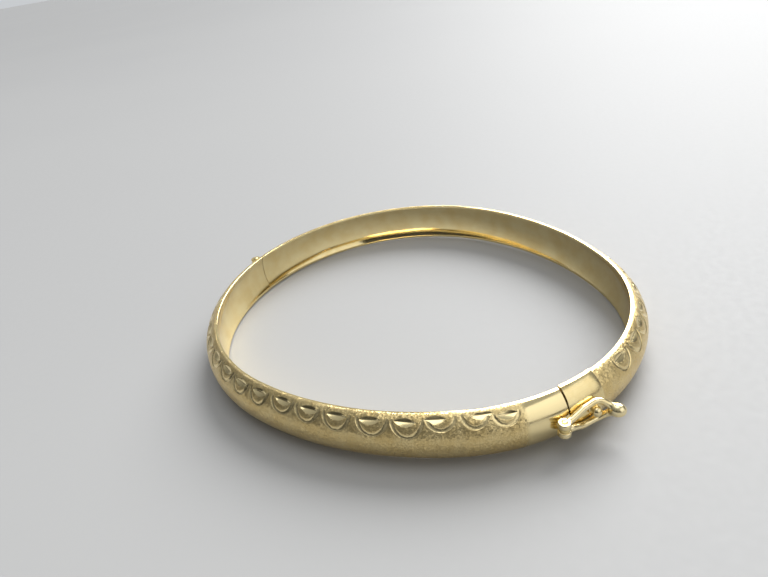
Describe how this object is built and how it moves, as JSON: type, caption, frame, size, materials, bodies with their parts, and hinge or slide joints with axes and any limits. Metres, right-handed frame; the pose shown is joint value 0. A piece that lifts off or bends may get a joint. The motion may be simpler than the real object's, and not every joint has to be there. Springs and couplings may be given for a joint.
{
  "type": "hinged bangle bracelet",
  "caption": "Oval hinged bangle bracelet of hollow domed gold band with engraved scallops, a snap clasp under a collar and a swinging figure-eight safety latch.",
  "frame": {"origin": "centre of the wrist opening, at the band's mid height", "axes": "+Z along the wrist, square to the band's plane; +X along the oval's long axis, towards the clasp; the shorter, opening arm is on the -Y side"},
  "size_m": [0.0664, 0.0576, 0.0066],
  "materials": {
    "satin_gold": "sandblasted satin with bright-cut engraving",
    "polished_gold": "polished, lightly burnished by wear",
    "bright_gold": "polished",
    "wire_gold": "polished drawn wire",
    "spring_gold": "fine-brushed hard strip"
  },
  "bodies": {
    "rear_arm": {"rear_outer_shell": "satin_gold", "rear_inner_liner": "polished_gold", "clasp_collar": "bright_gold", "clasp_face_plate": "bright_gold", "clasp_box": "bright_gold", "safety_peg": "wire_gold", "rear_hinge_block": "bright_gold", "rear_hinge_knuckle_upper": "bright_gold", "rear_hinge_knuckle_lower": "bright_gold", "hinge_pin": "wire_gold"},
    "front_arm": {"front_outer_shell": "satin_gold", "front_inner_liner": "polished_gold", "front_end_cap": "bright_gold", "tongue": "spring_gold", "tongue_spring": "spring_gold", "front_hinge_block": "bright_gold", "front_hinge_knuckle": "bright_gold", "latch_knuckle": "bright_gold", "latch_pivot_pin": "wire_gold"},
    "safety_latch": {"figure_eight_latch": "wire_gold"}
  },
  "joints": [
    {"name": "arm_open", "type": "hinge", "parent": "rear_arm", "child": "front_arm", "pos_m": [-0.03143, -0.00422, 0], "axis": [0, 0, -1], "range_deg": [0, 70]},
    {"name": "latch_swing", "type": "hinge", "parent": "front_arm", "child": "safety_latch", "pos_m": [0.02974, -0.01275, 0], "axis": [0, 0, -1], "range_deg": [0, 130]}
  ]
}
